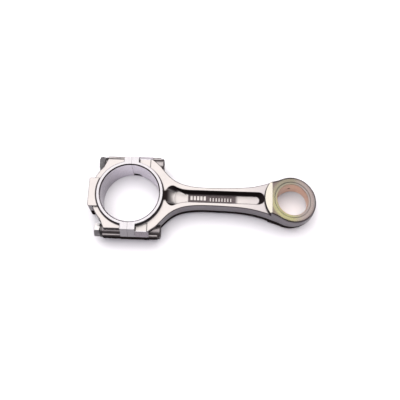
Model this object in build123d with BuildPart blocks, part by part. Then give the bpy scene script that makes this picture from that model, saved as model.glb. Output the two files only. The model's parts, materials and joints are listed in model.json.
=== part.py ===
from build123d import *
import os
from math import cos, radians, sin, tan

os.makedirs("parts", exist_ok=True)

# Two-bolt connecting rod of a medium-duty diesel engine, in millimetres.
# Origin: centre of the big-end bore at mid-thickness. +X runs to the small end and +Z
# along both bores. Everything is symmetrical about the planes Y = 0 and Z = 0, apart from
# the two bearing tang notches and the oil hole.

# --- Bores and overall sizes ---
CENTRES = 216.0            # from the big-end bore to the small-end bore
BORE_R = 39.0              # big-end housing bore
BORE_CHAMFER = 1.5
RING_R = 44.0              # raised thrust face round the bore
THRUST_Z = 22.0            # half the thickness across the thrust faces
EDGE_BREAK = 0.5           # small chamfer on machined edges

# --- Straps and side pads at the split ---
STRAP_X = 9.6              # half-width of the full-thickness straps
STRAP_Y = 50.0             # outer edge of the straps at the thrust face
PAD_Y = 56.2               # milled flank of the pads and the bolt bosses
PAD_Z = 7.0                # half-height of that flank
PAD_CAP_X = -10.0
PAD_ROD_X = 27.5
ROD_CHEEK_Z = 13.9         # milled cheek of the rod beside the strap
CAP_CHEEK_Z = 17.5         # cheek of the cap beside the strap
CAP_CHEEK_Y = 48.4
ROD_COVE = 2.0             # hollow radius at the foot of the ring and the straps
CAP_COVE = 1.6
CAP_STRAP_Y = 47.2         # the strap's cove stops short of the cap's rim

# --- Cap bolts, their bosses and the locating sleeves ---
BOLT_Y = 46.6              # bolt axes, at mid-thickness
BOLT_R = 5.5               # M11, drawn plain
BOLT_FIT = 0.05            # radial clearance in the rod, where the thread would be
BOLT_TIP_X = 38.0
BOLT_TIP_CHAMFER = 1.2
BOLT_SEAT_X = -34.3
COLLAR_R = 9.4
COLLAR_THICK = 3.2
HEAD_ACROSS_FLATS = 17.0
HEAD_HEIGHT = 7.4
HEAD_CORNER_CUT = 0.4      # the end of the head is this much smaller than its flats
HEAD_CHAMFER_SLOPE = tan(radians(30.0))
BOSS_R = 9.5
BOSS_END_X = 42.5
BOSS_CHAMFER = 1.0
SPOT_FACE_R = 10.6         # clears the collar
SLEEVE_R = 6.6
SLEEVE_BORE_R = 5.85
SLEEVE_HALF = 5.0
SLEEVE_SEAT = 5.3          # depth of each counterbore that holds the sleeve
SLEEVE_CAP_FIT = 0.05      # radial clearance in the cap; the rod grips the sleeve
RAIL_END_X = 38.5          # the milled flank of the bosses runs between these stations
RAIL_START_X = -33.3
RAIL_ROUND = 2.2

# --- Cap outline ---
CAP_R = 52.0               # back of the cap
CAP_CORNER_X = -31.8
CAP_FLAT_DEGREES = 136.0   # where the sloped corner flat meets the round back
CAP_PAD_X = -54.4          # balance pad
CAP_PAD_Y = 19.6
CAP_PAD_Z = 21.0

# --- Shank and eye outline, as half-widths at the flange face ---
FLANGE_Z = 15.4            # half the thickness across the flanges
SHOULDER_X = 25.6         # the flange steps down here to the milled cheek
SHANK_HALF_WIDTHS = [
    (27.0, 50.2),
    (36.0, 43.2),
    (48.0, 29.8),
    (60.5, 19.7),
    (80.0, 13.6),
    (116.0, 12.4),
    (146.0, 13.5),
    (171.0, 17.4),
    (190.0, 23.3),
]
EYE_R = 31.2
EYE_TANGENT_DEGREES = 115.0   # where the neck runs into the round of the eye
DRAFT = tan(radians(4.0))     # forging draft of the side walls
EYE_BOSS_R = 37.0             # turned step round the eye
EYE_BOSS_Z = 21.5
TAPER_X = 188.3               # where the faces of the eye start to slope in
TAPER = tan(radians(13.7))

# --- Web pockets between the flanges ---
WEB_Z = 4.6                # half the web thickness
POCKET_START_X = 46.2
POCKET_BULB_X = 53.5
POCKET_BULB_Y = 13.2
POCKET_BULB_SHARE = 0.8    # how far the bulb moves along as the ramp goes down
POCKET_NECK_X = 80.0
POCKET_NECK_Y = 8.1
POCKET_END_X = 178.6
POCKET_WALL_RUN = 1.9      # draft of the pocket walls, from flange face to web
POCKET_RAMP_RUN = 12.0     # the pocket ramps up towards the big end
POCKET_NOSE_RUN = 6.0
WEB_FILLET = 2.2

# --- Rounds and edge breaks ---
POCKET_RIM = 1.0
FLANGE_ROUND = 1.2
EYE_ROUND = 2.5
CAP_ROUND = 1.2
CAP_PAD_ROUND = 2.0
EYE_BORE_CHAMFER = 0.8
BUSH_CHAMFER = 0.6

# --- Bush, oil hole and bearing tang notches ---
EYE_BORE_R = 24.0
BUSH_BORE_R = 21.0
BUSH_RECESS = 0.35         # the bush stops this far under the sloped faces
OIL_HOLE_R = 2.0
OIL_HOLE_DEGREES = 100.0
OIL_HOLE_PLANE = Plane(
    origin=(CENTRES, 0, 0),
    z_dir=(cos(radians(OIL_HOLE_DEGREES)), sin(radians(OIL_HOLE_DEGREES)), 0),
)
NOTCH_CUTTER_R = 19.5
NOTCH_DEPTH = 2.4
NOTCH_LOW_Z = -19.0
NOTCH_HIGH_Z = -12.5

SIDES = (1, -1)
ACROSS = 400.0             # wider and longer than anything in the model
OVERRUN = 1.0              # how far a cut starts outside the face that it opens
NEAR = 0.01


def lies_at(edge, axis, station):
    """Whether an edge lies in the plane square to an axis at a station."""
    box = edge.bounding_box()
    low, high = {"X": (box.min.X, box.max.X), "Z": (box.min.Z, box.max.Z)}[axis]
    return abs(low - station) < NEAR and abs(high - station) < NEAR


def is_pocket_rim(edge, up):
    """Whether an edge is part of the rim of the web pocket on one face."""
    box = edge.bounding_box()
    narrow = max(box.max.Y, -box.min.Y) < POCKET_BULB_Y + NEAR
    inside = box.min.X > POCKET_START_X - NEAR and box.max.X < POCKET_END_X + NEAR
    return lies_at(edge, "Z", up * FLANGE_Z) and narrow and inside


def is_flange_rim(edge):
    """Whether an edge is a long outer edge of a flange, on either face."""
    on_face = lies_at(edge, "Z", FLANGE_Z) or lies_at(edge, "Z", -FLANGE_Z)
    return on_face and edge.length > CENTRES / 2


def is_sloped_face(face, up):
    """Whether a face is the sloped one on the given side of the eye."""
    normal = face.normal_at()
    return face.geom_type == GeomType.PLANE and 0.1 < normal.X < 0.9 and up * normal.Z > 0.5


def ring_profile(floor_z, cove):
    """Half section of the thrust ring, standing on faces at floor_z with a cove at its foot."""
    foot_z = floor_z + cove
    with BuildSketch() as profile:
        with BuildLine():
            Polyline(
                (0, THRUST_Z),
                (RING_R - EDGE_BREAK, THRUST_Z),
                (RING_R, THRUST_Z - EDGE_BREAK),
                (RING_R, foot_z),
            )
            TangentArc((RING_R, foot_z), (RING_R + cove, floor_z), tangent=(0, -1))
            Line((RING_R + cove, floor_z), (RING_R + cove, -floor_z))
            TangentArc((RING_R + cove, -floor_z), (RING_R, -foot_z), tangent=(-1, 0))
            Polyline(
                (RING_R, -foot_z),
                (RING_R, -THRUST_Z + EDGE_BREAK),
                (RING_R - EDGE_BREAK, -THRUST_Z),
                (0, -THRUST_Z),
                (0, THRUST_Z),
            )
        make_face()
    return profile.sketch


def strap_profile(floor_z, cove):
    """Section of a strap across the split, with coves where it stands on its cheeks."""
    foot_z = floor_z + cove
    out_x = STRAP_X + cove
    with BuildSketch() as profile:
        with BuildLine():
            Polyline((-STRAP_X, foot_z), (-STRAP_X, THRUST_Z), (STRAP_X, THRUST_Z), (STRAP_X, foot_z))
            TangentArc((STRAP_X, foot_z), (out_x, floor_z), tangent=(0, -1))
            Line((out_x, floor_z), (out_x, -floor_z))
            TangentArc((out_x, -floor_z), (STRAP_X, -foot_z), tangent=(-1, 0))
            Polyline((STRAP_X, -foot_z), (STRAP_X, -THRUST_Z), (-STRAP_X, -THRUST_Z), (-STRAP_X, -foot_z))
            TangentArc((-STRAP_X, -foot_z), (-out_x, -floor_z), tangent=(0, 1))
            Line((-out_x, -floor_z), (-out_x, floor_z))
            TangentArc((-out_x, floor_z), (-STRAP_X, foot_z), tangent=(1, 0))
        make_face()
    return profile.sketch


def cheek_cut_profile(up):
    """Section of the cut above a milled cheek of the rod, round where it meets the shoulder."""
    corner_r = FLANGE_Z - ROD_CHEEK_Z
    corner_x = SHOULDER_X - corner_r
    with BuildSketch() as profile:
        with BuildLine():
            Line((-OVERRUN, up * ROD_CHEEK_Z), (corner_x, up * ROD_CHEEK_Z))
            TangentArc((corner_x, up * ROD_CHEEK_Z), (SHOULDER_X, up * FLANGE_Z), tangent=(1, 0))
            Polyline(
                (SHOULDER_X, up * FLANGE_Z),
                (SHOULDER_X, up * 2 * THRUST_Z),
                (-OVERRUN, up * 2 * THRUST_Z),
                (-OVERRUN, up * ROD_CHEEK_Z),
            )
        make_face()
    return profile.sketch


def bore_profile():
    """Half section of the housing bore, with a chamfer that opens at each face."""
    reach = THRUST_Z + OVERRUN
    with BuildSketch() as profile:
        with BuildLine():
            Polyline(
                (0, -reach),
                (BORE_R + BORE_CHAMFER + OVERRUN, -reach),
                (BORE_R, -THRUST_Z + BORE_CHAMFER),
                (BORE_R, THRUST_Z - BORE_CHAMFER),
                (BORE_R + BORE_CHAMFER + OVERRUN, reach),
                (0, reach),
                close=True,
            )
        make_face()
    return profile.sketch


def pad_profile(side, top_z):
    """Section of a machined flank pad: flat at mid-height, then sloping in to top_z."""
    top_y = side * STRAP_Y
    flat_y = side * PAD_Y
    inner_y = side * (BOLT_Y - BOLT_R)
    with BuildSketch() as profile:
        with BuildLine():
            Polyline(
                (inner_y, -top_z),
                (top_y, -top_z),
                (flat_y, -PAD_Z),
                (flat_y, PAD_Z),
                (top_y, top_z),
                (inner_y, top_z),
                close=True,
            )
        make_face()
    return profile.sketch


def round_on_bolt(side, radius):
    """Circle about a bolt's axis, for a plane square to the rod."""
    with BuildSketch() as outline:
        with Locations((side * BOLT_Y, 0)):
            Circle(radius)
    return outline.sketch


def rail_profile(side):
    """Section of the milled flank on the outside of a bolt boss."""
    with BuildSketch() as profile:
        with Locations((side * (BOLT_Y + PAD_Y) / 2, 0)):
            Rectangle(PAD_Y - BOLT_Y, 2 * PAD_Z)
        fillet(vertices(), radius=RAIL_ROUND)
    return profile.sketch


def shank_outline(extra):
    """Half-width curve of the shank, run into the eye, all widened by extra."""
    tangent = radians(EYE_TANGENT_DEGREES)
    eye_r = EYE_R + extra
    joint = (CENTRES + eye_r * cos(tangent), eye_r * sin(tangent))
    upper = [(x, y + extra) for x, y in SHANK_HALF_WIDTHS] + [joint]
    lower = [(x, -y) for x, y in reversed(upper)]
    with BuildSketch() as outline:
        with BuildLine():
            Line((0, upper[0][1]), upper[0])
            Spline(*upper, tangents=[(0.8, -0.6), (sin(tangent), -cos(tangent))])
            ThreePointArc(joint, (CENTRES + eye_r, 0), lower[0])
            Spline(*lower, tangents=[(-sin(tangent), -cos(tangent)), (-0.8, -0.6)])
            Line(lower[-1], (0, lower[-1][1]))
            Line((0, lower[-1][1]), (0, upper[0][1]))
        make_face()
    return outline.sketch


def pocket_outline(inset, ramp, nose):
    """Web pocket: a bulb by the big end, a long waist, and a round nose by the eye."""
    start_x = POCKET_START_X + ramp
    bulb_x = POCKET_BULB_X + ramp * POCKET_BULB_SHARE
    bulb_y = POCKET_BULB_Y - inset
    neck_x = POCKET_NECK_X
    neck_y = POCKET_NECK_Y - inset
    end_x = POCKET_END_X - nose
    round_x = end_x - neck_y
    with BuildSketch() as outline:
        with BuildLine():
            Spline((start_x, 0), (bulb_x, bulb_y), (neck_x, neck_y), tangents=[(0, 1), (1, 0)])
            Line((neck_x, neck_y), (round_x, neck_y))
            ThreePointArc((round_x, neck_y), (end_x, 0), (round_x, -neck_y))
            Line((round_x, -neck_y), (neck_x, -neck_y))
            Spline((neck_x, -neck_y), (bulb_x, -bulb_y), (start_x, 0), tangents=[(-1, 0), (0, 1)])
        make_face()
    return outline.sketch


def wedge_profile(up, recess):
    """Section of the space beyond the sloped face of the eye, above or below it."""
    face_z = EYE_BOSS_Z - recess
    run = 2 * EYE_R
    with BuildSketch() as profile:
        with BuildLine():
            Polyline(
                (TAPER_X, up * face_z),
                (TAPER_X + 2 * run, up * (face_z - 2 * run * TAPER)),
                (TAPER_X + 2 * run, up * 2 * THRUST_Z),
                (TAPER_X - run, up * 2 * THRUST_Z),
                (TAPER_X - run, up * face_z),
                close=True,
            )
        make_face()
    return profile.sketch


def cap_outline():
    """Cheek of the cap: straight flank, sloped corner flat, then the round back."""
    flat_end = radians(CAP_FLAT_DEGREES)
    end = (CAP_R * cos(flat_end), CAP_R * sin(flat_end))
    with BuildSketch() as outline:
        with BuildLine():
            Polyline((0, -CAP_CHEEK_Y), (0, CAP_CHEEK_Y), (CAP_CORNER_X, CAP_CHEEK_Y), end)
            ThreePointArc(end, (-CAP_R, 0), (end[0], -end[1]))
            Polyline((end[0], -end[1]), (CAP_CORNER_X, -CAP_CHEEK_Y), (0, -CAP_CHEEK_Y))
        make_face()
    return outline.sketch


# --- Rod forging: shank, eye and the rod half of the big end ---
with BuildPart() as rod_forging:
    for up in SIDES:
        with BuildSketch(Plane.XY):
            add(shank_outline(DRAFT * EYE_BOSS_Z))
        with BuildSketch(Plane.XY.offset(up * EYE_BOSS_Z)):
            add(shank_outline(0))
        loft()
    # Flanges stand lower than the turned step of the eye
    for up in SIDES:
        with BuildSketch(Plane.XY.offset(up * FLANGE_Z)):
            Rectangle(2 * CENTRES, ACROSS)
            with Locations((CENTRES, 0)):
                Circle(EYE_BOSS_R, mode=Mode.SUBTRACT)
        extrude(amount=up * THRUST_Z, mode=Mode.SUBTRACT)
    # Web pockets, with drafted walls and a ramp towards the big end
    for up in SIDES:
        with BuildSketch(Plane.XY.offset(up * FLANGE_Z)):
            add(pocket_outline(0, 0, 0))
        with BuildSketch(Plane.XY.offset(up * WEB_Z)):
            add(pocket_outline(POCKET_WALL_RUN, POCKET_RAMP_RUN, POCKET_NOSE_RUN))
        loft(mode=Mode.SUBTRACT)
    for up in SIDES:
        fillet(edges().filter_by(lambda edge: lies_at(edge, "Z", up * WEB_Z)), radius=WEB_FILLET)
    # Milled cheeks beside the straps
    for up in SIDES:
        with BuildSketch(Plane.XZ.offset(-ACROSS / 2)):
            add(cheek_cut_profile(up))
        extrude(amount=ACROSS, mode=Mode.SUBTRACT)
    for up in SIDES:
        with BuildSketch(Plane.XZ.offset(-ACROSS / 2)):
            add(wedge_profile(up, 0))
        extrude(amount=ACROSS, mode=Mode.SUBTRACT)
    for up in SIDES:
        fillet(edges().filter_by(lambda edge: is_pocket_rim(edge, up)), radius=POCKET_RIM)
    for up in SIDES:
        sloped_face = faces().filter_by(lambda face: is_sloped_face(face, up))[0]
        eye_rim = sloped_face.edges().filter_by(lambda edge: edge.center().X > TAPER_X + NEAR)
        fillet(eye_rim, radius=EYE_ROUND)
    flange_rims = edges().filter_by(lambda edge: is_flange_rim(edge))
    fillet(flange_rims, radius=FLANGE_ROUND)
    # Bolt bosses, side pads, strap and thrust ring
    for side in SIDES:
        with BuildSketch(Plane.YZ):
            add(round_on_bolt(side, BOSS_R))
        extrude(amount=BOSS_END_X - BOSS_CHAMFER)
        with BuildSketch(Plane.YZ.offset(BOSS_END_X - BOSS_CHAMFER)):
            add(round_on_bolt(side, BOSS_R))
        extrude(amount=BOSS_CHAMFER, taper=45)
    for side in SIDES:
        with BuildSketch(Plane.YZ):
            add(rail_profile(side))
        extrude(amount=RAIL_END_X)
        with BuildSketch(Plane.YZ):
            add(pad_profile(side, ROD_CHEEK_Z))
        extrude(amount=PAD_ROD_X)
        with BuildSketch(Plane.YZ):
            add(pad_profile(side, THRUST_Z))
        extrude(amount=STRAP_X)
    with BuildSketch(Plane.XZ.offset(-STRAP_Y)):
        add(strap_profile(ROD_CHEEK_Z, ROD_COVE))
    extrude(amount=2 * STRAP_Y)
    with BuildSketch(Plane.XZ):
        add(ring_profile(FLANGE_Z, ROD_COVE))
    revolve(axis=Axis.Z)
    # Housing bore, eye bore and bolt holes
    with BuildSketch(Plane.XZ):
        add(bore_profile())
    revolve(axis=Axis.Z, mode=Mode.SUBTRACT)
    with BuildSketch(Plane.XY.offset(-ACROSS / 2)):
        with Locations((CENTRES, 0)):
            Circle(EYE_BORE_R)
    extrude(amount=ACROSS, mode=Mode.SUBTRACT)
    for up in SIDES:
        sloped_face = faces().filter_by(lambda face: is_sloped_face(face, up))[0]
        chamfer(sloped_face.inner_wires().edges(), length=EYE_BORE_CHAMFER)
    with BuildSketch(OIL_HOLE_PLANE):
        Circle(OIL_HOLE_R)
    extrude(amount=2 * EYE_R, mode=Mode.SUBTRACT)
    for side in SIDES:
        with BuildSketch(Plane.YZ.offset(-OVERRUN)):
            add(round_on_bolt(side, BOLT_R + BOLT_FIT))
        extrude(amount=ACROSS, mode=Mode.SUBTRACT)
        with BuildSketch(Plane.YZ.offset(-OVERRUN)):
            add(round_on_bolt(side, SLEEVE_R))
        extrude(amount=OVERRUN + SLEEVE_SEAT, mode=Mode.SUBTRACT)
    # Tang notch in the bore wall on the +Y side
    with BuildSketch(Plane.XY.offset(NOTCH_LOW_Z)):
        with Locations((0, BORE_R + NOTCH_DEPTH - NOTCH_CUTTER_R)):
            Circle(NOTCH_CUTTER_R)
    extrude(amount=NOTCH_HIGH_Z - NOTCH_LOW_Z, mode=Mode.SUBTRACT)
    split(bisect_by=Plane.YZ, keep=Keep.TOP)

rod_forging.part.label = "rod_forging"
export_step(rod_forging.part, "parts/rod_forging.step")


# --- Bearing cap ---
with BuildPart() as bearing_cap:
    with BuildSketch(Plane.XY.offset(-CAP_CHEEK_Z)):
        add(cap_outline())
    extrude(amount=2 * CAP_CHEEK_Z)
    for up in SIDES:
        cheek_rim = edges().filter_by(lambda edge: lies_at(edge, "Z", up * CAP_CHEEK_Z))
        fillet(cheek_rim.filter_by(lambda edge: edge.center().X < -NEAR), radius=CAP_ROUND)
    with BuildSketch(Plane.XY.offset(-CAP_PAD_Z)):
        with Locations(((CAP_PAD_X - BORE_R) / 2, 0)):
            Rectangle(-BORE_R - CAP_PAD_X, 2 * CAP_PAD_Y)
        fillet(vertices().group_by(Axis.X)[0], radius=CAP_PAD_ROUND)
    extrude(amount=2 * CAP_PAD_Z)
    for up in SIDES:
        pad_rim = edges().filter_by(lambda edge: lies_at(edge, "Z", up * CAP_PAD_Z))
        chamfer(pad_rim.filter_by(lambda edge: edge.center().X < -BORE_R - NEAR), length=EDGE_BREAK)
    for side in SIDES:
        with BuildSketch(Plane.YZ):
            add(round_on_bolt(side, BOSS_R))
        extrude(amount=BOLT_SEAT_X)
        with BuildSketch(Plane.YZ):
            add(rail_profile(side))
        extrude(amount=RAIL_START_X)
        with BuildSketch(Plane.YZ):
            add(pad_profile(side, CAP_CHEEK_Z))
        extrude(amount=PAD_CAP_X)
        with BuildSketch(Plane.YZ):
            add(pad_profile(side, THRUST_Z))
        extrude(amount=-STRAP_X)
    with BuildSketch(Plane.XZ.offset(-CAP_STRAP_Y)):
        add(strap_profile(CAP_CHEEK_Z, CAP_COVE))
    extrude(amount=2 * CAP_STRAP_Y)
    with BuildSketch(Plane.XZ):
        add(ring_profile(CAP_CHEEK_Z, CAP_COVE))
    revolve(axis=Axis.Z)
    # Spot faces clear the bolt collars
    for side in SIDES:
        with BuildSketch(Plane.YZ.offset(BOLT_SEAT_X)):
            add(round_on_bolt(side, SPOT_FACE_R))
        extrude(amount=-ACROSS / 4, mode=Mode.SUBTRACT)
        with BuildSketch(Plane.YZ.offset(OVERRUN)):
            add(round_on_bolt(side, SLEEVE_BORE_R))
        extrude(amount=-ACROSS / 4, mode=Mode.SUBTRACT)
        with BuildSketch(Plane.YZ.offset(OVERRUN)):
            add(round_on_bolt(side, SLEEVE_R + SLEEVE_CAP_FIT))
        extrude(amount=-OVERRUN - SLEEVE_SEAT, mode=Mode.SUBTRACT)
    with BuildSketch(Plane.XZ):
        add(bore_profile())
    revolve(axis=Axis.Z, mode=Mode.SUBTRACT)
    # Tang notch in the bore wall on the -Y side
    with BuildSketch(Plane.XY.offset(NOTCH_LOW_Z)):
        with Locations((0, NOTCH_CUTTER_R - BORE_R - NOTCH_DEPTH)):
            Circle(NOTCH_CUTTER_R)
    extrude(amount=NOTCH_HIGH_Z - NOTCH_LOW_Z, mode=Mode.SUBTRACT)
    split(bisect_by=Plane.YZ, keep=Keep.BOTTOM)

bearing_cap.part.label = "bearing_cap"
export_step(bearing_cap.part, "parts/bearing_cap.step")


# --- Cap bolts: hexagon head on a round collar, plain shank with a pointed tip ---
for bolt_name, side in (("cap_bolt_north", 1), ("cap_bolt_south", -1)):
    with BuildPart() as cap_bolt:
        with BuildSketch(Plane.YZ.offset(BOLT_SEAT_X)):
            add(round_on_bolt(side, BOLT_R))
        extrude(amount=BOLT_TIP_X - BOLT_SEAT_X)
        chamfer(edges().group_by(Axis.X)[-1], length=BOLT_TIP_CHAMFER)
        with BuildSketch(Plane.YZ.offset(BOLT_SEAT_X)):
            add(round_on_bolt(side, COLLAR_R))
        extrude(amount=-COLLAR_THICK)
        with BuildSketch(Plane.YZ.offset(BOLT_SEAT_X - COLLAR_THICK)):
            with Locations((side * BOLT_Y, 0)):
                RegularPolygon(HEAD_ACROSS_FLATS / 2, 6, major_radius=False)
        extrude(amount=-HEAD_HEIGHT)
        # Cone that takes the corners off the end of the head
        head_end_x = BOLT_SEAT_X - COLLAR_THICK - HEAD_HEIGHT
        flat_r = HEAD_ACROSS_FLATS / 2 - HEAD_CORNER_CUT
        with BuildSketch(Plane.XY):
            with BuildLine():
                Polyline(
                    (head_end_x, side * BOLT_Y + flat_r),
                    (head_end_x, side * BOLT_Y + 2 * flat_r),
                    (head_end_x + flat_r * HEAD_CHAMFER_SLOPE, side * BOLT_Y + 2 * flat_r),
                    close=True,
                )
            make_face()
        bolt_axis = Axis((0, side * BOLT_Y, 0), (1, 0, 0))
        revolve(axis=bolt_axis, mode=Mode.SUBTRACT)
    cap_bolt.part.label = bolt_name
    export_step(cap_bolt.part, f"parts/{bolt_name}.step")


# --- Locating sleeves round the bolts, across the split ---
for sleeve_name, side in (("dowel_sleeve_north", 1), ("dowel_sleeve_south", -1)):
    with BuildPart() as dowel_sleeve:
        with BuildSketch(Plane.YZ.offset(-SLEEVE_HALF)):
            add(round_on_bolt(side, SLEEVE_R))
            add(round_on_bolt(side, SLEEVE_BORE_R), mode=Mode.SUBTRACT)
        extrude(amount=2 * SLEEVE_HALF)
    dowel_sleeve.part.label = sleeve_name
    export_step(dowel_sleeve.part, f"parts/{sleeve_name}.step")


# --- Small-end bush, trimmed to the sloped faces of the eye ---
with BuildPart() as small_end_bush:
    with BuildSketch(Plane.XY.offset(-EYE_BOSS_Z)):
        with Locations((CENTRES, 0)):
            Circle(EYE_BORE_R)
            Circle(BUSH_BORE_R, mode=Mode.SUBTRACT)
    extrude(amount=2 * EYE_BOSS_Z)
    for up in SIDES:
        with BuildSketch(Plane.XZ.offset(-ACROSS / 2)):
            add(wedge_profile(up, BUSH_RECESS))
        extrude(amount=ACROSS, mode=Mode.SUBTRACT)
    for up in SIDES:
        sloped_face = faces().filter_by(lambda face: is_sloped_face(face, up))[0]
        chamfer(sloped_face.inner_wires().edges(), length=BUSH_CHAMFER)
    with BuildSketch(OIL_HOLE_PLANE):
        Circle(OIL_HOLE_R)
    extrude(amount=2 * EYE_R, mode=Mode.SUBTRACT)

small_end_bush.part.label = "small_end_bush"
export_step(small_end_bush.part, "parts/small_end_bush.step")
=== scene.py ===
import json
import math

import bmesh
import bpy
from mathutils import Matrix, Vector


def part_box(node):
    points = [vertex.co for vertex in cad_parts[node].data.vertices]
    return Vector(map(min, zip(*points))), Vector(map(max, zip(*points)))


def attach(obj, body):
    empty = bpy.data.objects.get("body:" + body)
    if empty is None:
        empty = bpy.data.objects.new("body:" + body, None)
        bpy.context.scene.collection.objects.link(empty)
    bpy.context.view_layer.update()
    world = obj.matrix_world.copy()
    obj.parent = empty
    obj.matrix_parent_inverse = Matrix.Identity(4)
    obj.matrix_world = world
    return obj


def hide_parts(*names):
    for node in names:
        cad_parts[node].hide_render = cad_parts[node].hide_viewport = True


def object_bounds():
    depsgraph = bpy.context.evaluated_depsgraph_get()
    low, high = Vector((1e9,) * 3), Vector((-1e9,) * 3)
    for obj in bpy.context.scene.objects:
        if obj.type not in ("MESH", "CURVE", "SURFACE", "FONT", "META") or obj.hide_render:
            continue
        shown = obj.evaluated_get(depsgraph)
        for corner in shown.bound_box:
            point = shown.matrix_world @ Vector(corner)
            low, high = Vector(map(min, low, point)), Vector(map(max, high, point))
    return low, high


# Materials, threaded bolts, web markings and studio for the two-bolt connecting rod.
# Metres throughout, in the frame of the CAD model: origin at the centre of the big-end bore,
# +X towards the small end, +Z along the bores.

MM = 0.001

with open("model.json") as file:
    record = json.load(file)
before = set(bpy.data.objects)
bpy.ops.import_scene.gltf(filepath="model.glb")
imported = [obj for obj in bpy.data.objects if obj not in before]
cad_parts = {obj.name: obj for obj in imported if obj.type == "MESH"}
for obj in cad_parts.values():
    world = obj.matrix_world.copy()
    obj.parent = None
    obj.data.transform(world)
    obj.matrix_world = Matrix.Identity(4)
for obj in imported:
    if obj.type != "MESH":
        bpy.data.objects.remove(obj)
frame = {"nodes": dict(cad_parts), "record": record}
cad_lo, cad_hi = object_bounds()
nodes = frame["nodes"]
mounts = {mount["name"]: mount for mount in frame["record"]["mounts"]}

# --- Places read from the frame ---
BORE_R = mounts["big_end_bore"]["dims"]["r_mm"] * MM
EYE_X = mounts["small_end_bore"]["pos_m"][0]
THRUST_Z = mounts["thrust_face_upper"]["pos_m"][2]
FLOOR_Z = cad_lo.z
BOLT_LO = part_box("cap_bolt_south")[0]
MIDDLE = (cad_lo + cad_hi) / 2

# --- Places on the forgings, as offsets from those ---
RING_R = BORE_R + 5 * MM            # outside of the raised thrust ring
BORE_EDGE = 1.4 * MM                # reach of the bore's chamfered edge
STRAP_HALF_X = 9.6 * MM             # straps across the split
STRAP_FROM_Z = 18 * MM              # only the straps and the ring reach above this
PAD_END_X = 27.5 * MM               # rod end of the machined side pads
PAD_INNER_Y = 49.2 * MM
FLANK_FLAT_Y = 55.7 * MM            # milled flats along the bosses lie outside this
FLANK_FLAT_Z = 6.6 * MM
BOSS_INNER_Y = 38 * MM              # rough bosses round the bolts
BOSS_TOP_Z = 12.5 * MM
COVE_FROM_Z = 13 * MM               # coves round the ring and the eye's step end here
HEAD_HEIGHT = 7.4 * MM              # hexagon of the bolt's head, then its collar
COLLAR_THICK = 3.2 * MM
FLANGE_Z = 15.4 * MM                # faces of the I-section flanges
WEB_Z = 4.6 * MM                    # faces of the web between them
TAPER_X = EYE_X - 27.7 * MM         # where the eye's faces start to slope
EYE_STEP_R = 37 * MM                # turned step round the eye
EYE_RIM_FROM_R = 27 * MM            # the eye's sloped face darkens between these radii
EYE_RIM_TO_R = 32 * MM
DULL_FROM_X = 140 * MM              # the flange faces turn duller between these stations
DULL_TO_X = 180 * MM
PARTING_Z = -1.0 * MM               # line left by the forging dies; the flanks are painted lighter along it, a painted highlight
SHADE_BELOW_Z = -1.5 * MM           # the flanks are painted black below this, as painted shade
LABEL_FROM_X = 77 * MM              # stretch of the web painted dark round the raised bars, as painted shade
LABEL_TO_X = 142 * MM
POCKET_FROM_X = 44 * MM
POCKET_TO_X = 179.5 * MM
POCKET_HALF_Y = 9 * MM
BULB_TO_X = 68 * MM                 # the pocket is wider up to here
BULB_HALF_Y = 14 * MM
ROOT_TO_X = POCKET_FROM_X + 4.5 * MM    # root between the ring and the pocket, painted dark as painted shade
ROOT_HALF_Y = 7 * MM
RAMP_FROM_X = 48 * MM
RAMP_TO_X = 61 * MM                 # where the pocket's ramp has run out into the web
RAMP_HALF_Y = 8.8 * MM
RAMP_HOLLOW = 48.0                  # how fast the ramp's slope dies away, per metre


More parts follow.
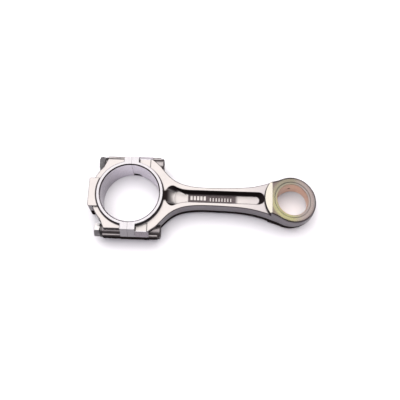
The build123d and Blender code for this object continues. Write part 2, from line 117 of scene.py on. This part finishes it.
class Graph:
    """The node tree of one material. Arguments are sockets or plain numbers."""

    def __init__(self, name):
        self.material = bpy.data.materials.new(name)
        self.material.use_nodes = True
        self.tree = self.material.node_tree
        self.shader = self.tree.nodes["Principled BSDF"]

    def node(self, kind, **settings):
        made = self.tree.nodes.new(kind)
        for key, value in settings.items():
            setattr(made, key, value)
        return made

    def feed(self, socket, value):
        """Joins a socket to a value, or sets the socket's own number or colour."""
        if isinstance(value, bpy.types.NodeSocket):
            self.tree.links.new(value, socket)
        else:
            socket.default_value = value

    def math(self, operation, *values):
        made = self.node("ShaderNodeMath", operation=operation)
        for socket, value in zip(made.inputs, values):
            self.feed(socket, value)
        return made.outputs[0]

    def add(self, a, b):
        return self.math("ADD", a, b)

    def subtract(self, a, b):
        return self.math("SUBTRACT", a, b)

    def times(self, *values):
        product = values[0]
        for value in values[1:]:
            product = self.math("MULTIPLY", product, value)
        return product

    def either(self, *masks):
        result = masks[0]
        for mask in masks[1:]:
            result = self.math("MAXIMUM", result, mask)
        return result

    def flip(self, mask):
        return self.math("SUBTRACT", 1.0, mask)

    def rising(self, value, low, high):
        """0 below low, 1 above high, smooth between."""
        made = self.node("ShaderNodeMapRange", interpolation_type="SMOOTHSTEP")
        for key, number in (("Value", value), ("From Min", low), ("From Max", high)):
            self.feed(made.inputs[key], number)
        return made.outputs[0]

    def above(self, value, edge, soft=0.2 * MM):
        return self.rising(value, edge - soft, edge + soft)

    def below(self, value, edge, soft=0.2 * MM):
        return self.flip(self.above(value, edge, soft))

    def mix(self, share, a, b):
        """Colour b over colour a by a share from 0 to 1."""
        made = self.node("ShaderNodeMix", data_type="RGBA")
        for socket, value in zip((made.inputs[0], made.inputs[6], made.inputs[7]), (share, a, b)):
            self.feed(socket, value)
        return made.outputs[2]

    def blend(self, share, a, b):
        """Number b over number a by a share from 0 to 1."""
        made = self.node("ShaderNodeMix", data_type="FLOAT")
        for socket, value in zip((made.inputs[0], made.inputs[2], made.inputs[3]), (share, a, b)):
            self.feed(socket, value)
        return made.outputs[0]

    def noise(self, vector, size, detail=3.0, roughness=0.55):
        """Noise from 0 to 1 whose features are about size metres across."""
        made = self.node("ShaderNodeTexNoise")
        self.feed(made.inputs["Vector"], vector)
        self.feed(made.inputs["Scale"], 1 / size)
        self.feed(made.inputs["Detail"], detail)
        self.feed(made.inputs["Roughness"], roughness)
        return made.outputs["Fac"]

    def position(self):
        """The point on the piece at rest, as a vector and as x, y and z."""
        vector = self.node("ShaderNodeTexCoord").outputs["Object"]
        split = self.node("ShaderNodeSeparateXYZ")
        self.feed(split.inputs[0], vector)
        return vector, split.outputs[0], split.outputs[1], split.outputs[2]

    def normal_parts(self):
        split = self.node("ShaderNodeSeparateXYZ")
        self.feed(split.inputs[0], self.node("ShaderNodeTexCoord").outputs["Normal"])
        return split.outputs

    def radius(self, u, v):
        return self.math("SQRT", self.add(self.times(u, u), self.times(v, v)))

    def bump(self, height, distance, strength=1.0, below=None):
        made = self.node("ShaderNodeBump")
        self.feed(made.inputs["Height"], height)
        made.inputs["Distance"].default_value = distance
        self.feed(made.inputs["Strength"], strength)
        if below is not None:
            self.feed(made.inputs["Normal"], below)
        return made.outputs[0]


def colour(red, green, blue):
    return (red, green, blue, 1.0)


# --- Forged steel: shot-peened skin, with bright machined faces ---
FACE_LIGHT = colour(0.275, 0.255, 0.25)
FACE_DARK = colour(0.20, 0.185, 0.185)
# Painted shade: the sideways-facing flanks get these colours, darker than the faces
FLANK_LIGHT = colour(0.16, 0.145, 0.158)
FLANK_DARK = colour(0.085, 0.075, 0.084)
# Painted shade: black for the web round the raised bars
LABEL_SHADE_BLACK = colour(0.016, 0.012, 0.014)
MACHINED_LIGHT = colour(0.25, 0.24, 0.25)
MACHINED_DARK = colour(0.18, 0.172, 0.185)
# Painted light: the bore wall is painted lighter towards the rod's half, where it faces the light
BORE_LIGHT = colour(0.76, 0.715, 0.79)
BORE_DARK = colour(0.24, 0.22, 0.245)
# Painted shade: black for shaded hollows, rounded edges, lower flanks, the bore's north chamfer and
# the bolt collars; the same black marks the joint between rod and cap
JOINT_AND_SHADE_BLACK = colour(0.012, 0.009, 0.009)
# Painted shade: dark grey for the web round the raised bars, mottled with the black above
LABEL_SHADE_DARK = colour(0.070, 0.058, 0.060)
# Painted shade: the south bosses take this darker grey, the north ones the face colour
BOSS_SHADE_GREY = colour(0.17, 0.155, 0.155)
# Painted reflection: machined faces that slope are painted this lighter grey
SLOPE_SHEEN = colour(0.34, 0.31, 0.333)
# Yellow and olive tints of the eye's sloped faces
EYE_YELLOW = colour(0.33, 0.315, 0.17)
EYE_OLIVE = colour(0.215, 0.195, 0.155)
EYE_PINK = colour(0.31, 0.26, 0.265)
EYE_RIM = colour(0.13, 0.095, 0.105)
CRESCENT_CREAM = colour(0.225, 0.21, 0.185)


def machined_mask(g, x, y, z):
    """Three masks: the ring, straps and pads, then the housing bore, then the eye's faces."""
    from_bore = g.radius(x, y)
    from_eye = g.radius(g.subtract(x, EYE_X), y)
    height = g.math("ABSOLUTE", z)
    flank = g.math("ABSOLUTE", y)
    along = g.math("ABSOLUTE", x)
    ring = g.times(g.below(from_bore, RING_R + 0.2 * MM), g.above(height, FLANGE_Z))
    bore = g.below(from_bore, BORE_R + BORE_EDGE)
    strap = g.times(g.below(along, STRAP_HALF_X), g.above(height, STRAP_FROM_Z))
    cap_side = g.above(x, -STRAP_HALF_X)
    pad = g.times(g.above(flank, PAD_INNER_Y), g.below(x, PAD_END_X), cap_side)
    eye_face = g.times(g.above(height, 0.5 * FLANGE_Z), g.below(from_eye, EYE_STEP_R))
    eye_face = g.times(eye_face, g.above(x, EYE_X - EYE_STEP_R))
    return g.either(ring, strap, pad), bore, eye_face


def split_line(g, x):
    """1 on the thin dark joint between the rod and the cap."""
    return g.below(g.math("ABSOLUTE", x), 0.12 * MM, 0.1 * MM)


def pocket_mask(g, x, y, height):
    """1 inside the web pockets, below their rims."""
    reach = g.blend(g.above(x, BULB_TO_X), BULB_HALF_Y, POCKET_HALF_Y)
    across = g.below(g.subtract(g.math("ABSOLUTE", y), reach), 0.0)
    along = g.times(g.above(x, POCKET_FROM_X), g.below(x, POCKET_TO_X))
    return g.times(along, across, g.below(height, FLANGE_Z - 0.15 * MM))


def boss_mask(g, x, y, height):
    """1 on the rough bosses round the bolts, outside the straps and cheeks."""
    beside = g.above(g.math("ABSOLUTE", y), BOSS_INNER_Y)
    off_strap = g.above(g.math("ABSOLUTE", x), STRAP_HALF_X + 0.4 * MM)
    return g.times(beside, off_strap, g.below(height, BOSS_TOP_Z))


def ramp_mask(g, x, y, facing_up):
    """1 on the ramp from the web up to the big end."""
    along = g.times(g.above(x, POCKET_FROM_X), g.below(x, RAMP_TO_X, 1.5 * MM))
    across = g.below(g.math("ABSOLUTE", y), RAMP_HALF_Y, 1.5 * MM)
    tilted = g.times(g.rising(facing_up, 0.45, 0.6), g.flip(g.rising(facing_up, 0.86, 0.98)))
    return g.times(along, across, tilted)


def step_mask(g, x, y, height):
    """1 in the coves at the foot of the thrust ring, and round the step of the eye."""
    from_bore = g.radius(x, y)
    from_eye = g.radius(g.subtract(x, EYE_X), y)
    past_ring = g.above(from_bore, RING_R - 0.3 * MM)
    past_step = g.above(from_eye, EYE_STEP_R - 0.4 * MM)
    ring_foot = g.times(past_ring, g.below(from_bore, RING_R + 1.7 * MM, 0.5 * MM))
    eye_foot = g.times(past_step, g.below(from_eye, EYE_STEP_R + 1.2 * MM, 0.5 * MM))
    eye_foot = g.times(eye_foot, g.below(x, TAPER_X))
    step = g.either(ring_foot, eye_foot)
    return g.times(step, g.below(height, THRUST_Z - 0.6 * MM), g.above(height, COVE_FROM_Z))


def tool_marks(g, distance, pitch):
    """Fine ridges from 0 to 1, one for each pitch of distance."""
    wave = g.math("SINE", g.times(distance, 2 * math.pi / pitch))
    return g.add(g.times(wave, 0.5), 0.5)


def eye_tint(g, x, y, mottle):
    """Yellow and olive tint on the eye's sloped faces, fading to pinkish steel at the far side."""
    along = g.rising(x, TAPER_X, EYE_X + 26 * MM)
    down = g.rising(y, -24 * MM, 20 * MM)
    side_tint = g.mix(down, EYE_YELLOW, EYE_OLIVE)
    tint = g.mix(g.rising(along, 0.45, 0.95), side_tint, EYE_PINK)
    return g.mix(g.times(mottle, 0.35), tint, EYE_OLIVE)


def skin_colour(g, x, y, z, facing_up, mottle, patches):
    """Bright blasted faces over flanks painted darker as painted shade, with a lighter parting line
    as a painted highlight, a label strip painted dark as shade, and bosses painted darker on the
    south as shade.
    """
    height = g.math("ABSOLUTE", z)
    side_wall = g.flip(g.rising(facing_up, 0.2, 0.5))
    face = g.mix(patches, FACE_DARK, FACE_LIGHT)
    face = g.mix(g.times(g.rising(x, DULL_FROM_X, DULL_TO_X), 0.35), face, FLANK_LIGHT)
    flank = g.mix(patches, FLANK_DARK, FLANK_LIGHT)
    # Painted highlight: a lighter band along the die line on the flanks
    parting = g.below(g.math("ABSOLUTE", g.subtract(z, PARTING_Z)), 0.6 * MM, 0.3 * MM)
    flank = g.mix(g.times(parting, side_wall, 0.7), flank, FACE_DARK)
    # Painted shade: the web round the raised bars is painted dark
    label = g.times(g.above(x, LABEL_FROM_X, 0.8 * MM), g.below(x, LABEL_TO_X, 3 * MM))
    label = g.times(label, g.below(height, WEB_Z + 0.4 * MM), g.above(facing_up, 0.8, 0.1))
    # Painted shade: faces take the bright colours and flanks the darker ones, by facing alone
    skin = g.mix(g.rising(facing_up, 0.25, 0.8), flank, face)
    skin = g.mix(label, skin, g.mix(mottle, LABEL_SHADE_BLACK, LABEL_SHADE_DARK))
    # Painted shade: the bosses are darker on the south side than on the north
    boss_shade = g.mix(g.rising(y, -10 * MM, 10 * MM), BOSS_SHADE_GREY, FACE_LIGHT)
    return g.mix(boss_mask(g, x, y, height), skin, g.mix(mottle, FLANK_DARK, boss_shade))


def eye_colour(g, x, y, base, eye_flat, mottle):
    """Yellow and olive tint on the eye's sloped faces, dark towards the rim, and a cream crescent."""
    sloped = g.times(eye_flat, g.above(x, TAPER_X, 0.6 * MM))
    from_eye = g.radius(g.subtract(x, EYE_X), y)
    rim = g.times(g.rising(from_eye, EYE_RIM_FROM_R, EYE_RIM_TO_R), 0.8)
    base = g.mix(sloped, base, g.mix(rim, eye_tint(g, x, y, mottle), EYE_RIM))
    crescent = g.times(eye_flat, g.below(x, TAPER_X, 0.6 * MM))
    return g.mix(crescent, base, CRESCENT_CREAM)


def shade_mask(g, x, y, z, facing_up, ramp, bored, finished):
    """1 where shade is painted black: steep pocket walls, coves, rounded edges and the lower flanks,
    also milled flats, the root by the ring and the ramp's foot.
    """
    height = g.math("ABSOLUTE", z)
    aside = g.math("ABSOLUTE", y)
    side_wall = g.flip(g.rising(facing_up, 0.2, 0.5))
    in_pocket = pocket_mask(g, x, y, height)
    # Every mask here is painted shade, black put where shade falls
    pocket = g.times(in_pocket, g.flip(g.rising(facing_up, 0.6, 0.97)), g.flip(ramp))
    rounded = g.times(g.rising(facing_up, 0.25, 0.5), g.flip(g.rising(facing_up, 0.88, 0.98)))
    rounded = g.times(rounded, g.flip(g.either(finished, ramp)), 0.85)
    step = g.times(step_mask(g, x, y, height), 0.9)
    inner_wall = g.either(bored, g.times(in_pocket, g.above(height, WEB_Z + 0.2 * MM)))
    underside = g.times(side_wall, g.below(z, SHADE_BELOW_Z, 1.2 * MM), g.flip(inner_wall))
    milled_flat = g.times(g.above(aside, FLANK_FLAT_Y), side_wall, g.below(height, FLANK_FLAT_Z))
    root = g.times(g.above(x, RING_R), g.below(x, ROOT_TO_X), g.below(aside, ROOT_HALF_Y, 1.5 * MM))
    root = g.times(root, g.below(height, THRUST_Z - 0.6 * MM))
    ramp_foot = g.times(ramp, g.flip(g.rising(x, RAMP_FROM_X, RAMP_TO_X - 1 * MM)))
    return g.either(pocket, rounded, step, underside, milled_flat, root, ramp_foot)


def forging_material(name):
    g = Graph(name)
    vector, x, y, z = g.position()
    facing_up = g.math("ABSOLUTE", g.normal_parts()[2])
    machined, bore, eye_face = machined_mask(g, x, y, z)
    eye_flat = g.times(eye_face, g.above(facing_up, 0.85, 0.06))
    bored = g.times(bore, g.below(facing_up, 0.3, 0.1))
    ramp = ramp_mask(g, x, y, facing_up)

    mottle = g.noise(vector, 4 * MM, 5.0)
    peened = g.noise(vector, 0.9 * MM, 2.0)
    patches = g.blend(0.5, g.noise(vector, 30 * MM), mottle)

    metal = g.mix(mottle, MACHINED_DARK, MACHINED_LIGHT)
    # Painted reflection: sloped machined faces are painted lighter
    slope = g.times(g.above(facing_up, 0.55, 0.1), g.below(facing_up, 0.8))
    metal = g.mix(slope, metal, SLOPE_SHEEN)
    base = g.mix(machined, skin_colour(g, x, y, z, facing_up, mottle, patches), metal)
    # Painted light: the bore wall lightens towards the rod's half, where it faces the light
    painted_sheen = g.blend(0.35, g.rising(x, -BORE_R, 0.0), mottle)
    base = g.mix(bored, base, g.mix(painted_sheen, BORE_DARK, BORE_LIGHT))
    base = eye_colour(g, x, y, base, eye_flat, mottle)

    # The bore's chamfer is painted dark on the north side only, as painted shade
    edge = g.times(bore, g.above(facing_up, 0.4, 0.1), g.below(facing_up, 0.9, 0.05))
    edge = g.times(edge, g.rising(y, -30 * MM, 5 * MM))
    finished = g.either(machined, bore, eye_face)
    painted_shade = shade_mask(g, x, y, z, facing_up, ramp, bored, finished)
    # Painted shade, with the real joint: these areas take the black and lose their metal
    dark = g.either(split_line(g, x), painted_shade, edge)
    g.feed(g.shader.inputs["Base Color"], g.mix(dark, base, JOINT_AND_SHADE_BLACK))
    g.feed(g.shader.inputs["Metallic"], g.flip(dark))
    g.shader.inputs["Specular IOR Level"].default_value = 0.0

    smooth = g.either(machined, bore, eye_flat)
    rough_skin = g.blend(mottle, 0.30, 0.42)
    rough_metal = g.blend(mottle, 0.20, 0.30)
    g.feed(g.shader.inputs["Roughness"], g.blend(smooth, rough_skin, rough_metal))

    ring_marks = tool_marks(g, g.radius(x, y), 0.45 * MM)
    lay = g.bump(ring_marks, 0.004 * MM, g.times(machined, 0.8))
    dents = g.bump(peened, 0.12 * MM, g.times(g.flip(smooth), 0.8), lay)
    # The ramp reads as a hollow curve: its slope dies away towards the web
    along_ramp = g.math("MAXIMUM", g.subtract(x, RAMP_FROM_X), 0.0)
    hollow = g.times(along_ramp, along_ramp, RAMP_HOLLOW)
    g.feed(g.shader.inputs["Normal"], g.bump(hollow, 1.0, ramp, dents))
    return g.material


# --- Bronze, bolts and sleeves ---
LINING_R = mounts["small_end_bore"]["dims"]["r_mm"] * MM + 0.5 * MM   # bronze inside a steel back
BRONZE_LIGHT = colour(0.84, 0.57, 0.43)
BRONZE_DARK = colour(0.52, 0.30, 0.20)
BOLT_LIGHT = colour(0.40, 0.385, 0.39)
BOLT_DARK = colour(0.25, 0.24, 0.245)
SLEEVE_LIGHT = colour(0.66, 0.65, 0.66)
SLEEVE_DARK = colour(0.48, 0.47, 0.49)


def bronze_material():
    g = Graph("bored_bronze")
    vector, x, y, z = g.position()
    patch = g.noise(vector, 9 * MM, 4.0)
    fine = g.noise(vector, 1.2 * MM)
    bronze = g.mix(g.blend(0.3, patch, fine), BRONZE_DARK, BRONZE_LIGHT)
    backing = g.above(g.radius(g.subtract(x, EYE_X), y), LINING_R, 0.15 * MM)
    g.feed(g.shader.inputs["Base Color"], g.mix(backing, bronze, eye_tint(g, x, y, patch)))
    g.shader.inputs["Metallic"].default_value = 1.0
    g.feed(g.shader.inputs["Roughness"], g.blend(patch, 0.26, 0.42))
    g.feed(g.shader.inputs["Normal"], g.bump(tool_marks(g, z, 0.35 * MM), 0.003 * MM, 0.7))
    return g.material


def turned_steel_material(name, dark, light, rough_low, rough_high, shaded_span=None):
    """Steel turned about an axis along X. The stretch of X in the last argument is painted nearly
    black, as painted shade.
    """
    g = Graph(name)
    vector, x, _, _ = g.position()
    stain = g.noise(vector, 5 * MM, 5.0)
    fine = g.noise(vector, 0.7 * MM)
    base = g.mix(g.blend(0.35, stain, fine), dark, light)
    # Painted shade: this stretch is painted nearly black
    if shaded_span is not None:
        from_x, to_x = shaded_span
        base = g.mix(g.times(g.above(x, from_x), g.below(x, to_x), 0.85), base, JOINT_AND_SHADE_BLACK)
    g.feed(g.shader.inputs["Base Color"], base)
    g.shader.inputs["Metallic"].default_value = 1.0
    g.feed(g.shader.inputs["Roughness"], g.blend(stain, rough_low, rough_high))
    lay = g.bump(tool_marks(g, x, 0.4 * MM), 0.003 * MM, 0.6)
    g.feed(g.shader.inputs["Normal"], g.bump(fine, 0.03 * MM, 0.5, lay))
    return g.material


steel = forging_material("forged_steel")
bronze = bronze_material()
# Painted shade: the collar under each bolt head is painted nearly black
COLLAR_SPAN = (BOLT_LO.x + HEAD_HEIGHT, BOLT_LO.x + HEAD_HEIGHT + COLLAR_THICK)
bolt_steel = turned_steel_material("bolt_steel", BOLT_DARK, BOLT_LIGHT, 0.28, 0.44, COLLAR_SPAN)
sleeve_steel = turned_steel_material("sleeve_steel", SLEEVE_DARK, SLEEVE_LIGHT, 0.2, 0.32)


def give(piece, material):
    piece.data.materials.clear()
    piece.data.materials.append(material)


give(nodes["rod_forging"], steel)
give(nodes["bearing_cap"], steel)
give(nodes["small_end_bush"], bronze)
for side in ("north", "south"):
    give(nodes[f"dowel_sleeve_{side}"], sleeve_steel)


# --- Bolts with a flanged hexagon head, a waisted shank and a real thread ---
HEAD_FLATS = 17 * MM
HEAD_CORNER_CUT = 0.4 * MM          # the end of the head is this much smaller than its flats
HEAD_DISH = ((0.6 * MM, 3.0 * MM), (0.5 * MM, 4.6 * MM), (0.0, 5.6 * MM))   # depth and radius
CONE_SLOPE = math.tan(math.radians(60))
CONE_STEPS = 4
COLLAR_R = 9.4 * MM
BOLT_R = 5.5 * MM
FULL_SHANK = 12 * MM                # full-size shank under the seat, then a neck to the waist
NECK = 1.5 * MM
WAIST_R = 4.9 * MM
PILOT_R = 5.4 * MM                  # the pilot runs through the locating sleeve
PILOT_FROM_X = -8 * MM
PILOT_TO_X = -1 * MM
PILOT_TAPER = 1 * MM
THREAD_LENGTH = 31 * MM
THREAD_DEPTH = 0.9 * MM
THREAD_CREST_CUT = 0.03 * MM
THREAD_FLANK = 1.25                 # over 1 leaves the crests flat
THREAD_RUN_IN = 1.2 * MM
PITCH = 1.5 * MM
TIP_PLAIN = 1.3 * MM                # plain end past the thread, then a chamfer
TIP_CHAMFER = 1.2 * MM
TIP_SHOULDER_CUT = 0.4 * MM
TIP_END_CUT = 1.6 * MM
BOLT_STEPS = 72                     # points round each ring
THREAD_STEPS = 8                    # rings per turn of the thread


def hexagon(turn):
    """Half-width of the hexagon by angle. With no turn, a flat faces +Z."""
    sixth = math.radians(60)
    return lambda angle: HEAD_FLATS / 2 / math.cos((angle - turn) % sixth - sixth / 2)


def head_rings(end_x, turn):
    """Rings of the head: a dished end, a coned chamfer, then the six flats."""
    half_width = hexagon(turn)
    flat_r = HEAD_FLATS / 2 - HEAD_CORNER_CUT
    corner_r = HEAD_FLATS / 2 / math.cos(math.radians(30))
    cone = (corner_r - flat_r) / CONE_SLOPE
    rings = [(end_x + depth, lambda angle, r=r: r) for depth, r in HEAD_DISH]
    for step in range(CONE_STEPS + 1):
        depth = cone * step / CONE_STEPS
        limit = flat_r + depth * CONE_SLOPE
        rings.append((end_x + depth, lambda angle, limit=limit: min(limit, half_width(angle))))
    rings.append((end_x + HEAD_HEIGHT - 0.5 * MM, half_width))
    return rings


def collar_rings(start_x):
    """Rings of the round collar under the head."""
    profile = (
        (0.0, COLLAR_R - 0.9 * MM),
        (0.35 * MM, COLLAR_R - 0.35 * MM),
        (0.9 * MM, COLLAR_R),
        (COLLAR_THICK - 0.3 * MM, COLLAR_R),
        (COLLAR_THICK, COLLAR_R - 0.3 * MM),
    )
    return [(start_x + along, lambda angle, r=r: r) for along, r in profile]


def thread_rings(start_x, end_x):
    """Rings whose radius follows a helix, so that the thread is a real ridge."""
    count = round((end_x - start_x) / PITCH * THREAD_STEPS)
    rings = []
    for step in range(count + 1):
        along = step / THREAD_STEPS
        fade = min(1.0, along, (count - step) / THREAD_STEPS)

        def radius(angle, along=along, fade=fade):
            turn = (along - angle / (2 * math.pi)) % 1.0
            ridge = min(1.0, THREAD_FLANK * abs(2 * turn - 1))
            return BOLT_R - THREAD_CREST_CUT - THREAD_DEPTH * (1 - ridge) * fade

        rings.append((start_x + along * PITCH, radius))
    return rings


def bolt_rings(lo, hi, turn):
    """All rings of a bolt between the two ends of its box, from the head to the tip."""
    seat_x = lo.x + HEAD_HEIGHT + COLLAR_THICK
    thread_end = hi.x - TIP_PLAIN
    thread_start = thread_end - THREAD_LENGTH
    shank = (
        (seat_x + 0.01 * MM, BOLT_R),
        (seat_x + FULL_SHANK, BOLT_R),
        (seat_x + FULL_SHANK + NECK, WAIST_R),
        (PILOT_FROM_X - PILOT_TAPER, WAIST_R),
        (PILOT_FROM_X, PILOT_R),
        (PILOT_TO_X, PILOT_R),
        (PILOT_TO_X + PILOT_TAPER, WAIST_R),
        (thread_start - THREAD_RUN_IN, WAIST_R),
    )
    tip = ((hi.x - TIP_CHAMFER, BOLT_R - TIP_SHOULDER_CUT), (hi.x, BOLT_R - TIP_END_CUT))
    rings = head_rings(lo.x, turn) + collar_rings(lo.x + HEAD_HEIGHT)
    rings += [(x, lambda angle, r=r: r) for x, r in shank]
    rings += thread_rings(thread_start, thread_end)
    rings += [(x, lambda angle, r=r: r) for x, r in tip]
    return rings


def mesh_object(name, mesh):
    piece = bpy.data.objects.new(name, mesh)
    bpy.context.scene.collection.objects.link(piece)
    return piece


def lathe(name, rings, axis_y, axis_z):
    """A closed skin through rings about an axis along X."""
    bm = bmesh.new()
    loops = []
    for x, radius in rings:
        loop = []
        for step in range(BOLT_STEPS):
            angle = 2 * math.pi * step / BOLT_STEPS
            r = radius(angle)
            loop.append(bm.verts.new((x, axis_y + r * math.cos(angle), axis_z + r * math.sin(angle))))
        loops.append(loop)
    for first, second in zip(loops, loops[1:]):
        for step in range(BOLT_STEPS):
            after = (step + 1) % BOLT_STEPS
            bm.faces.new((first[step], first[after], second[after], second[step]))
    bm.faces.new(loops[0])
    bm.faces.new(loops[-1])
    bmesh.ops.recalc_face_normals(bm, faces=bm.faces)
    mesh = bpy.data.meshes.new(name)
    bm.to_mesh(mesh)
    bm.free()
    return mesh_object(name, mesh)


def smooth_by_angle(piece, degrees):
    piece.data.polygons.foreach_set("use_smooth", [True] * len(piece.data.polygons))
    piece.data.set_sharp_from_angle(angle=math.radians(degrees))


# Each bolt has stopped at its own angle
for side, turn in (("north", math.radians(30)), ("south", math.radians(-15))):
    node = f"cap_bolt_{side}"
    lo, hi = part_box(node)
    axis_y = (lo.y + hi.y) / 2
    bolt = lathe(f"threaded_bolt_{side}", bolt_rings(lo, hi, turn), axis_y, 0.0)
    smooth_by_angle(bolt, 28)
    give(bolt, bolt_steel)
    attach(bolt, f"bolt_{side}")
    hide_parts(node)


# --- Generic raised bars forged into the web, where a maker's lettering would be ---
BAR_ROWS = (
    # from, to, width and gap along the web, then from and to across it
    (80 * MM, 103.5 * MM, 3.4 * MM, 1.0 * MM, -2.6 * MM, 3.6 * MM),
    (106 * MM, 140 * MM, 1.7 * MM, 2.2 * MM, -3.6 * MM, 1.6 * MM),
)
BAR_PROUD = 0.8 * MM
BAR_SUNK = 0.3 * MM
BAR_ROUNDING = 0.25 * MM


def bar_boxes():
    """Start and end of each raised bar along the web and across it."""
    boxes = []
    for start, end, width, gap, low_y, high_y in BAR_ROWS:
        for number in range(int((end - start) / (width + gap))):
            from_x = start + number * (width + gap)
            boxes.append((from_x, from_x + width, low_y, high_y))
    return boxes


def raised_bars(name, up):
    bm = bmesh.new()
    for from_x, to_x, from_y, to_y in bar_boxes():
        made = bmesh.ops.create_cube(bm, size=1.0)["verts"]
        for vert in made:
            vert.co.x = from_x if vert.co.x < 0 else to_x
            vert.co.y = from_y if vert.co.y < 0 else to_y
            vert.co.z = up * (WEB_Z + (BAR_PROUD if vert.co.z > 0 else -BAR_SUNK))
    bmesh.ops.recalc_face_normals(bm, faces=bm.faces)
    mesh = bpy.data.meshes.new(name)
    bm.to_mesh(mesh)
    bm.free()
    piece = mesh_object(name, mesh)
    rounding = piece.modifiers.new("rounded_edges", "BEVEL")
    rounding.width = BAR_ROUNDING
    rounding.segments = 3
    smooth_by_angle(piece, 50)
    return piece


for name, up in (("web_bars_upper", 1), ("web_bars_lower", -1)):
    bars = raised_bars(name, up)
    give(bars, steel)
    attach(bars, "rod")


# --- Studio: pale floor and soft boxes ---
FLOOR_HALF = 4.0
FLOOR_DARK = colour(0.57, 0.565, 0.575)
FLOOR_LIGHT = colour(0.59, 0.585, 0.59)
WORLD_COLOUR = colour(0.90, 0.87, 1.0)
WORLD_STRENGTH = 0.10
SOFT_BOXES = (
    # name, direction from the part, distance, size, power and tint
    ("east", Vector((0.80, 0.36, 1.0)), 1.45, (1.0, 1.0), 4.5, (1.0, 0.97, 0.90)),
    ("key", Vector((-0.20, 0.30, 1.0)), 1.5, (2.0, 2.0), 56, (1.0, 0.985, 0.96)),
    ("south", Vector((0.0, -1.0, 0.095)), 2.4, (3.2, 0.44), 5, (1.0, 0.96, 1.0)),
    ("fill", Vector((0.0, -0.1, 1.0)), 1.9, (3.4, 3.4), 62, (0.94, 0.89, 1.0)),
)
NOT_MIRRORED = "fill"               # lifts the floor's shadows, and the metal doesn't mirror it


def floor_material():
    g = Graph("studio_floor")
    vector, _, _, _ = g.position()
    paper = g.noise(vector, 40 * MM)
    g.feed(g.shader.inputs["Base Color"], g.mix(paper, FLOOR_DARK, FLOOR_LIGHT))
    g.shader.inputs["Roughness"].default_value = 0.9
    g.shader.inputs["Specular IOR Level"].default_value = 0.1
    return g.material


def make_floor():
    mesh = bpy.data.meshes.new("studio_floor")
    corners = [(-1, -1), (1, -1), (1, 1), (-1, 1)]
    points = [(MIDDLE.x + FLOOR_HALF * u, FLOOR_HALF * v, FLOOR_Z) for u, v in corners]
    mesh.from_pydata(points, [], [(0, 1, 2, 3)])
    floor = mesh_object("studio_floor", mesh)
    give(floor, floor_material())


def soft_box(name, direction, distance, size, power, tint):
    light = bpy.data.lights.new(name, "AREA")
    light.shape = "RECTANGLE"
    light.size, light.size_y = size
    light.energy = power
    light.color = tint
    lamp = bpy.data.objects.new(name, light)
    bpy.context.scene.collection.objects.link(lamp)
    lamp.location = MIDDLE + direction.normalized() * distance
    lamp.rotation_euler = (-direction).to_track_quat("-Z", "Y").to_euler()
    lamp.visible_glossy = name != NOT_MIRRORED


def make_world():
    world = bpy.data.worlds.new("studio")
    world.use_nodes = True
    background = world.node_tree.nodes["Background"]
    background.inputs["Color"].default_value = WORLD_COLOUR
    background.inputs["Strength"].default_value = WORLD_STRENGTH
    bpy.context.scene.world = world


make_floor()
make_world()
for row in SOFT_BOXES:
    soft_box(*row)

# --- Camera: high over the near side, a little towards the big end ---
CAMERA_PLACE = Vector((102.5 * MM, -264.2 * MM, 834.4 * MM))
CAMERA_DOWN = math.radians(72.43)
CAMERA_TURN = 0.036
CAMERA_LENS = 58.5
CAMERA_SENSOR = 36

camera_data = bpy.data.cameras.new("camera")
camera_data.sensor_width = CAMERA_SENSOR
camera_data.lens = CAMERA_LENS
camera = bpy.data.objects.new("camera", camera_data)
bpy.context.scene.collection.objects.link(camera)
camera.location = CAMERA_PLACE
camera.rotation_euler = (math.pi / 2 - CAMERA_DOWN, 0.0, CAMERA_TURN)
bpy.context.scene.camera = camera
bpy.context.scene.view_settings.view_transform = "Standard"
